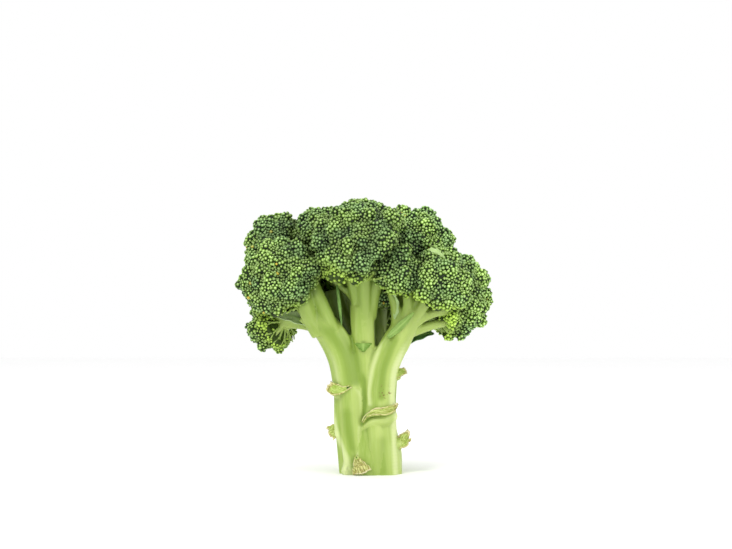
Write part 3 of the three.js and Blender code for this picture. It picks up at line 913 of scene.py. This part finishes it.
def build_crown(name, floret, trees, bud, seed):
    """A crown, from the CAD crown's own shape drawn in to leave room for lumps and buds."""
    at, radius, faces = floret[:3]
    middle, axis = np.array(at), facing(*faces)
    shape = bmesh.new()
    shape.from_mesh(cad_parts["crown_" + name].data)
    bmesh.ops.remove_doubles(shape, verts=shape.verts[:], dist=1e-6)
    bmesh.ops.triangulate(shape, faces=shape.faces[:])
    mesh = bpy.data.meshes.new("crown_" + name)
    shape.to_mesh(mesh)
    shape.free()
    p = corners(mesh) / MM
    off = p - middle
    far = np.linalg.norm(off, axis=1)
    level = off @ axis / radius
    ragged = 0.06 * np.sin(p @ rng.normal(0, 0.25, (3, 3))).sum(1)
    dome = np.clip((level + 0.5 + ragged) / 0.18, 0, 1)
    lump = 2.0 + 0.1 * radius
    inset = 1.0 + dome * (lump - 0.1)
    p = middle + off * (1 - np.minimum(inset / far, 0.8))[:, None]
    place_corners(mesh, p)
    put_number(mesh, "dome", dome)
    thing, shape = new_object("buds_" + name, mesh), new_object("dome_" + name, mesh)
    fan = line_object("branchlets_" + name, branchlet_lines(floret))
    lumps, buds = trees
    add_tree(thing, lumps, Lump_radius=lump, Lump_spacing=lump * 1.6, Seed=seed, Material=BUDS)
    add_skin(thing, CROWN_SKIN, 1)
    add_tree(thing, buds, Bud=bud, Dome=shape, Branchlets=fan, Seed=seed, Material=BUDS)
    made = take_mesh(thing)
    for helper in (fan, shape):
        bpy.data.objects.remove(helper)
    p = corners(made)
    level = (p - middle) @ axis / radius
    cell = np.empty(len(p), np.float32)
    made.attributes["cell"].data.foreach_get("value", cell)
    cell = cell.round().astype(int)
    local = np.random.default_rng(seed).uniform(0, 1, cell.max() + 1)
    put_number(made, "tint", np.where(cell > 0, local[cell], 0.5))
    # Each bud's own random tone, times the painted shade of the creases and of the next crown.
    put_number(made, "shade", np.where(cell > 0, 0.8 + 0.4 * local[cell], 0.9) * crease_shade(name, p, cell))
    patch = sum(np.sin(p @ w + k) for k, w in enumerate(rng.normal(0, 0.13, (4, 3)))) / 4
    fringe = np.clip((-0.02 - level + 0.22 * patch) / 0.35, 0, 1)
    put_number(made, "fringe", np.where(cell > 0, fringe, fringe * 0.5))
    bake_cells(made, cell, p, middle, axis, radius)
    return finish_piece(thing, made, ["crown_" + name], BUDS)


def crease_shade(name, p, cell):
    """Painted shade on the buds: darker deep in a crown's creases and near the next crown, and dark on the
    core.
    """
    crowns = {"crown_" + n for n in FLORETS}
    own, others = solids_tree({"crown_" + name}), solids_tree(crowns - {"crown_" + name})
    count = np.maximum(np.bincount(cell), 1)[:, None]
    seats = np.stack([np.bincount(cell, weights=p[:, k]) for k in range(3)], 1) / count
    deep, apart = (np.array([tree.find_nearest(Vector(seat))[3] for seat in seats]) for tree in (own, others))
    light = 1.36 - 0.85 * np.clip((deep - 0.5) / CREASE_DEPTH, 0, 1)
    light *= LIGHTNESS.get(name, 1.04) * (0.42 + 0.58 * np.clip(apart / MEETING, 0, 1) ** 0.8)
    # The core between the buds is painted dark as shade.
    return np.where(cell > 0, light[cell], 0.6)


def solids_tree(names):
    """The CAD solids of some nodes, for measuring how far away they are."""
    points, faces = [], []
    for name in sorted(names):
        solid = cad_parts[name].data
        faces += [[i + len(points) for i in face.vertices] for face in solid.polygons]
        points += [v.co / MM for v in solid.vertices]
    return BVHTree.FromPolygons(points, faces)


def shelter_of(points, outs):
    """The share of the ways out of each point that the rest of the head blocks."""
    solids = solids_tree(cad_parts)
    ways = np.array([unit(way) for way in np.random.default_rng(8).normal(size=(12, 3))])
    blocked = np.zeros(len(points))
    for way in ways:
        turned = way * np.sign(outs @ way)[:, None]
        for i, start in enumerate(points + 2 * outs):
            blocked[i] += solids.ray_cast(Vector(start), Vector(turned[i]), CLOSENESS)[0] is not None
    return blocked / len(ways)


def bake_cells(mesh, cell, p, middle, axis, radius):
    """One small square of the map for each bud, with the core and the branchlets in a strip above them."""
    corner = np.empty(len(mesh.loops), np.int64)
    mesh.loops.foreach_get("vertex_index", corner)
    layer = mesh.uv_layers["OFBake"]
    uv = np.empty(len(mesh.loops) * 2, np.float32)
    layer.data.foreach_get("uv", uv)
    uv = uv.reshape(-1, 2)
    n = math.ceil(math.sqrt(cell.max() / 0.72))
    number = cell[corner] - 1
    square = np.stack([number % n, number // n], 1)
    of_bud = (square + 0.04 + 0.92 * uv) / n
    u, v = around(axis)
    off = (p[corner] - middle) / (2.6 * radius)
    strip = np.stack([0.5 + off @ u, 0.875 + 0.23 * (off @ v)], 1)
    final = np.where((number >= 0)[:, None], of_bud, strip)
    layer.data.foreach_set("uv", np.clip(final, 0, 1).astype(np.float32).ravel())


def grid_piece(name, rows, thickness, node, material, numbers):
    """A closed sheet from a grid of points, thick in its middle and thin at its edges."""
    rows = np.asarray(rows, float)
    n, m = rows.shape[:2]
    du, dv = np.gradient(rows, axis=0), np.gradient(rows, axis=1)
    face = np.cross(du, dv)
    face /= np.maximum(np.linalg.norm(face, axis=2), 1e-9)[:, :, None]
    half = np.asarray(thickness)[..., None] / 2
    upper, lower = rows + face * half, rows - face * half
    points = np.concatenate([upper.reshape(-1, 3), lower.reshape(-1, 3)])
    k = n * m
    faces = []
    for i in range(n - 1):
        for j in range(m - 1):
            a, b, c, d = i * m + j, i * m + j + 1, (i + 1) * m + j + 1, (i + 1) * m + j
            faces += [(a, d, c, b), (k + a, k + b, k + c, k + d)]
    edge = [(0, j) for j in range(m)] + [(i, m - 1) for i in range(1, n)]
    edge += [(n - 1, j) for j in range(m - 2, -1, -1)] + [(i, 0) for i in range(n - 2, 0, -1)]
    ring = [i * m + j for i, j in edge]
    for a, b in zip(ring, ring[1:] + ring[:1]):
        faces.append((a, b, k + b, k + a))
    mesh = bpy.data.meshes.new(name)
    mesh.from_pydata([tuple(p) for p in points], [], faces)
    shape = bmesh.new()
    shape.from_mesh(mesh)
    bmesh.ops.recalc_face_normals(shape, faces=shape.faces[:])
    shape.to_mesh(mesh)
    shape.free()
    for label, values in numbers.items():
        put_number(mesh, label, np.concatenate([np.ravel(side) for side in values]))
    mesh.shade_smooth()
    return finish_piece(new_object(name, mesh), mesh, [node], material)


LEAVES = {
    "leaf_right": ((18, 0, 77), (0.9, 0.1, 0.35), (-0.2, -0.75, 0.6), 22, 10, 3, 0.05),
    "leaf_left": ((-39, 0, 89), (-0.92, -0.05, 0.3), (0.2, -0.75, 0.6), 20, 9, 3, 0.95),
    "leaf_hanging": ((-20, -20, 112), (0.12, -0.05, -0.98), (0.1, -0.98, 0.05), 24, 1.8, 1, 0.2),
    "leaf_limb": ((10, -21.2, 81), (0.7, -0.22, 0.66), (-0.1, -0.98, 0.1), 22, 4.6, -1.5, 0.6),
    "leaf_fork": ((14, -21, 92), (0.04, -0.22, 0.97), (-0.75, -0.6, 0), 17, 3.6, -2, 0.8),
    "leaf_bract": ((-4.5, -18.4, 77.5), (0, 0.02, -1), (0, -1, 0), 5.0, 10.4, 0, 0.36),
    "leaf_crown": ((33, -45, 131), (0.85, 0.1, -0.35), (0.2, -0.75, 0.62), 10, 3.4, 1.2, 0.75),
}


def build_leaf(name, at, grows, looks, length, width, curl, pale):
    """A leaf blade with a midrib, curled along its length and wavy at its edges."""
    up = unit(grows)
    face = unit(np.array(looks) - up * np.dot(looks, up))
    side = np.cross(up, face)
    t = np.linspace(0, 1, 28)[:, None]
    s = np.linspace(-1, 1, 15)[None]
    half = width / 2 * np.sin(np.pi * np.clip(0.06 + 0.94 * t, 0, 1)) ** 0.7 * (1.15 - 0.35 * t)
    if width > length:
        half = width / 2 * (1 - 0.98 * t) ** 0.75
    wave = 0.5 * np.sin(t * 17 + s) * s**2
    lift = curl * (np.sin(t * np.pi) - t * t) + wave + 0.25 * width * 0.3 * s**2
    rows = (
        np.array(at)
        + (t * length)[..., None] * up
        + (half * s)[..., None] * side
        + lift[..., None] * face
    )
    thickness = 0.45 + 0.7 * np.exp(-((s * 4) ** 2)) * (1 - 0.7 * t)
    vein = np.exp(-((s * 5) ** 2)) * 0.9 + 0.25 * (np.sin(t * 40 + 9 * abs(s)) > 0.93)
    numbers = {"vein": [np.clip(vein, 0, 1)] * 2, "pale": [np.full_like(vein, pale)] * 2}
    return grid_piece(name + "_blade", rows, thickness, name, LEAF, numbers)


# What is left of the leaves: the line of each along its middle, its half width on the way, the way that its
# torn face looks, how deep that is cupped, how far its end is torn and how dry its face is.
STUBS = {
    "stub_left_upper": (
        [(-11.5, -17.8, 52.3), (-16, -17, 50.2), (-20.5, -15.4, 50), (-25.2, -13.5, 52.6)],
        [0.6, 2.0, 4.2, 2.8], (-0.1, -0.93, 0.3), 0.4, 0.8, 0.02,
    ),
    "stub_front": (
        [(-4.8, -17.8, 31), (-2.4, -19, 34.6), (3, -20.2, 36.4)]
        + [(9, -19.8, 37), (13.5, -17.2, 39), (16, -15, 42)],
        [0.5, 1.3, 2.5, 3.1, 2.3, 0.6], (0.05, -0.7, 0.7), 0.6, 1.2, 0.33,
    ),
    "stub_right_upper": (
        [(14, -11, 58), (18, -10.5, 60), (21.3, -10, 61)],
        [2.7, 3.0, 2.2], (0.1, -0.8, 0.6), 0.2, 0.4, 0.0,
    ),
    "stub_left_lower": (
        [(-18, -9, 27), (-21.5, -9, 25), (-24.6, -9, 23)],
        [3.6, 4.7, 4.6], (-0.3, -0.85, 0.35), 0.1, 1.2, 0.25,
    ),
    "stub_right_lower": (
        [(15.5, -9, 17), (19, -9, 19.5), (22, -8.6, 23.5)],
        [3.2, 3.9, 3.6], (0.3, -0.85, 0.35), 0.4, 4.5, 0.25,
    ),
    "stub_base": (
        [(-8.8, -17.9, 11.6), (-7.6, -19, 8), (-6.2, -19.8, 4.4), (-5, -20.2, 1.4)],
        [0.4, 2.6, 4.8, 6.6], (-0.15, -0.95, 0.25), 0.12, 0.8, 0.6,
    ),
    "stub_back": (
        [(8, 17, 29), (4, 19.6, 33.4), (-3, 20, 35.4), (-9, 17.4, 38.5)],
        [0.6, 2.6, 3.2, 0.8], (0.05, 0.75, 0.65), 0.6, 1.4, 0.33,
    ),
}


def build_stub(name, line, widths, looks, cup, tear, dry):
    """What is left of a leaf stalk: a thick cupped flap, green outside, fibrous and dry where it was torn."""
    local = np.random.default_rng(sum(map(ord, name)))
    n, m = 26, 23
    spine = smooth_line(line, n)
    t, s = np.linspace(0, 1, n)[:, None], np.linspace(-1, 1, m)[None]
    along = np.gradient(spine, axis=0)
    along /= np.linalg.norm(along, axis=1)[:, None]
    side = np.cross(along, unit(looks))
    side /= np.linalg.norm(side, axis=1)[:, None]
    face = np.cross(side, along)
    left = spread(local.uniform(0.85, 1.12, 9), n)[:, None]
    right = spread(local.uniform(0.8, 1.15, 9), n)[:, None]
    ragged = np.where(s < 0, left, right)
    half = spread(widths, n)[:, None] * ragged
    prongs = np.cos(s * 4.6 + 0.4) * 0.5 + spread(local.uniform(-0.6, 0.4, 10), m)[None]
    fibre = 0.16 * np.sin(s * 19 + 2 * np.sin(t * 5)) + 0.12 * np.sin(s * 33 + t * 6)
    lift = cup * half * s**2 + fibre * np.minimum(half, 2)
    rows = (
        spine[:, None]
        + (half * s)[..., None] * side[:, None]
        + lift[..., None] * face[:, None]
        + (tear * prongs * t**4)[..., None] * along[:, None]
    )
    rows[..., 2] = np.maximum(rows[..., 2], STUB_FOOT)
    thickness = 0.5 + 0.35 * np.sqrt(np.clip(1.02 - s**2, 0, 1)) * half * (1 - 0.6 * t)
    rim = np.clip((abs(s) - 0.72) / 0.25 + 0 * t, 0, 1)
    end = np.clip((t - 0.8) / 0.15 + 0 * s, 0, 1)
    # Painted shadow in the slit under the flap, kept as negative torn values.
    painted_slit_shadow = 1.6 * np.exp(-(((t - 0.1) / 0.09) ** 2)) * np.clip(1.2 - abs(s) * 1.5, 0, 1)
    torn = np.maximum(rim * 0.4, end * 0.6), np.maximum(rim, np.maximum(end, dry * np.cos(s))) - painted_slit_shadow
    numbers = {"torn": torn, "span": [half * s] * 2, "run": [0.12 * np.arange(n)[:, None] + 0 * s] * 2}
    return grid_piece(name + "_flap", rows, thickness, name, STUB, numbers)


build_stems()
bud = bud_object()
trees = lump_tree(), bud_tree()
for seed, (name, floret) in enumerate(FLORETS.items()):
    build_crown(name, floret, trees, bud, seed + 1)
for name, shape in LEAVES.items():
    build_leaf(name, *shape)
for name, shape in STUBS.items():
    build_stub(name, *shape)
for helper in ("bud", "stem_section"):
    bpy.data.objects.remove(bpy.data.objects[helper])

# ---------------------------------------------------------------- floor, light and camera


def build_floor():
    half = 3.0
    sheet = [(-half, -half, 0), (half, -half, 0), (half, half, 0), (-half, half, 0)]
    mesh = bpy.data.meshes.new("floor")
    mesh.from_pydata(sheet, [], [(0, 1, 2, 3)])
    mesh.materials.append(floor_material())
    new_object("floor", mesh)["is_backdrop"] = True


def softbox(name, place, aim, size, power):
    """A round soft light that is turned to what it lights."""
    lamp = bpy.data.lights.new(name, "AREA")
    lamp.shape, lamp.size, lamp.energy = "DISK", size, power
    made = new_object(name, lamp)
    made.location = place
    made.rotation_euler = (Vector(aim) - Vector(place)).to_track_quat("-Z", "Y").to_euler()
    return made


def build_studio():
    build_floor()
    world = bpy.data.worlds.new("studio")
    world.use_nodes = True
    world.node_tree.nodes["Background"].inputs[0].default_value = (1, 1, 1, 1)
    world.node_tree.nodes["Background"].inputs[1].default_value = 1.0
    bpy.context.scene.world = world
    aim = (0, 0, 0.09)
    softbox("key", (-0.55, -0.75, 0.85), aim, 0.4, 6.0)
    softbox("fill", (0.8, -0.7, 0.4), aim, 0.6, 3.5)
    softbox("top", (0.1, 0.15, 1.0), aim, 0.6, 2.5)


def build_camera():
    """The camera looks level at the head from its front, a little above its middle."""
    lens = bpy.data.cameras.new("camera")
    made = new_object("camera", lens)
    low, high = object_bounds()
    middle = (low + high) / 2
    distance, width_seen, front = 0.65, 0.4392, -0.01
    lens.sensor_width = 36
    lens.lens = lens.sensor_width * distance / width_seen
    made.location = (middle.x, front - distance, middle.z)
    aim = Vector((middle.x, front, middle.z + 0.035))
    made.rotation_euler = (aim - made.location).to_track_quat("-Z", "Y").to_euler()
    bpy.context.scene.camera = made
    bpy.context.scene.view_settings.view_transform = "Standard"


build_studio()
build_camera()
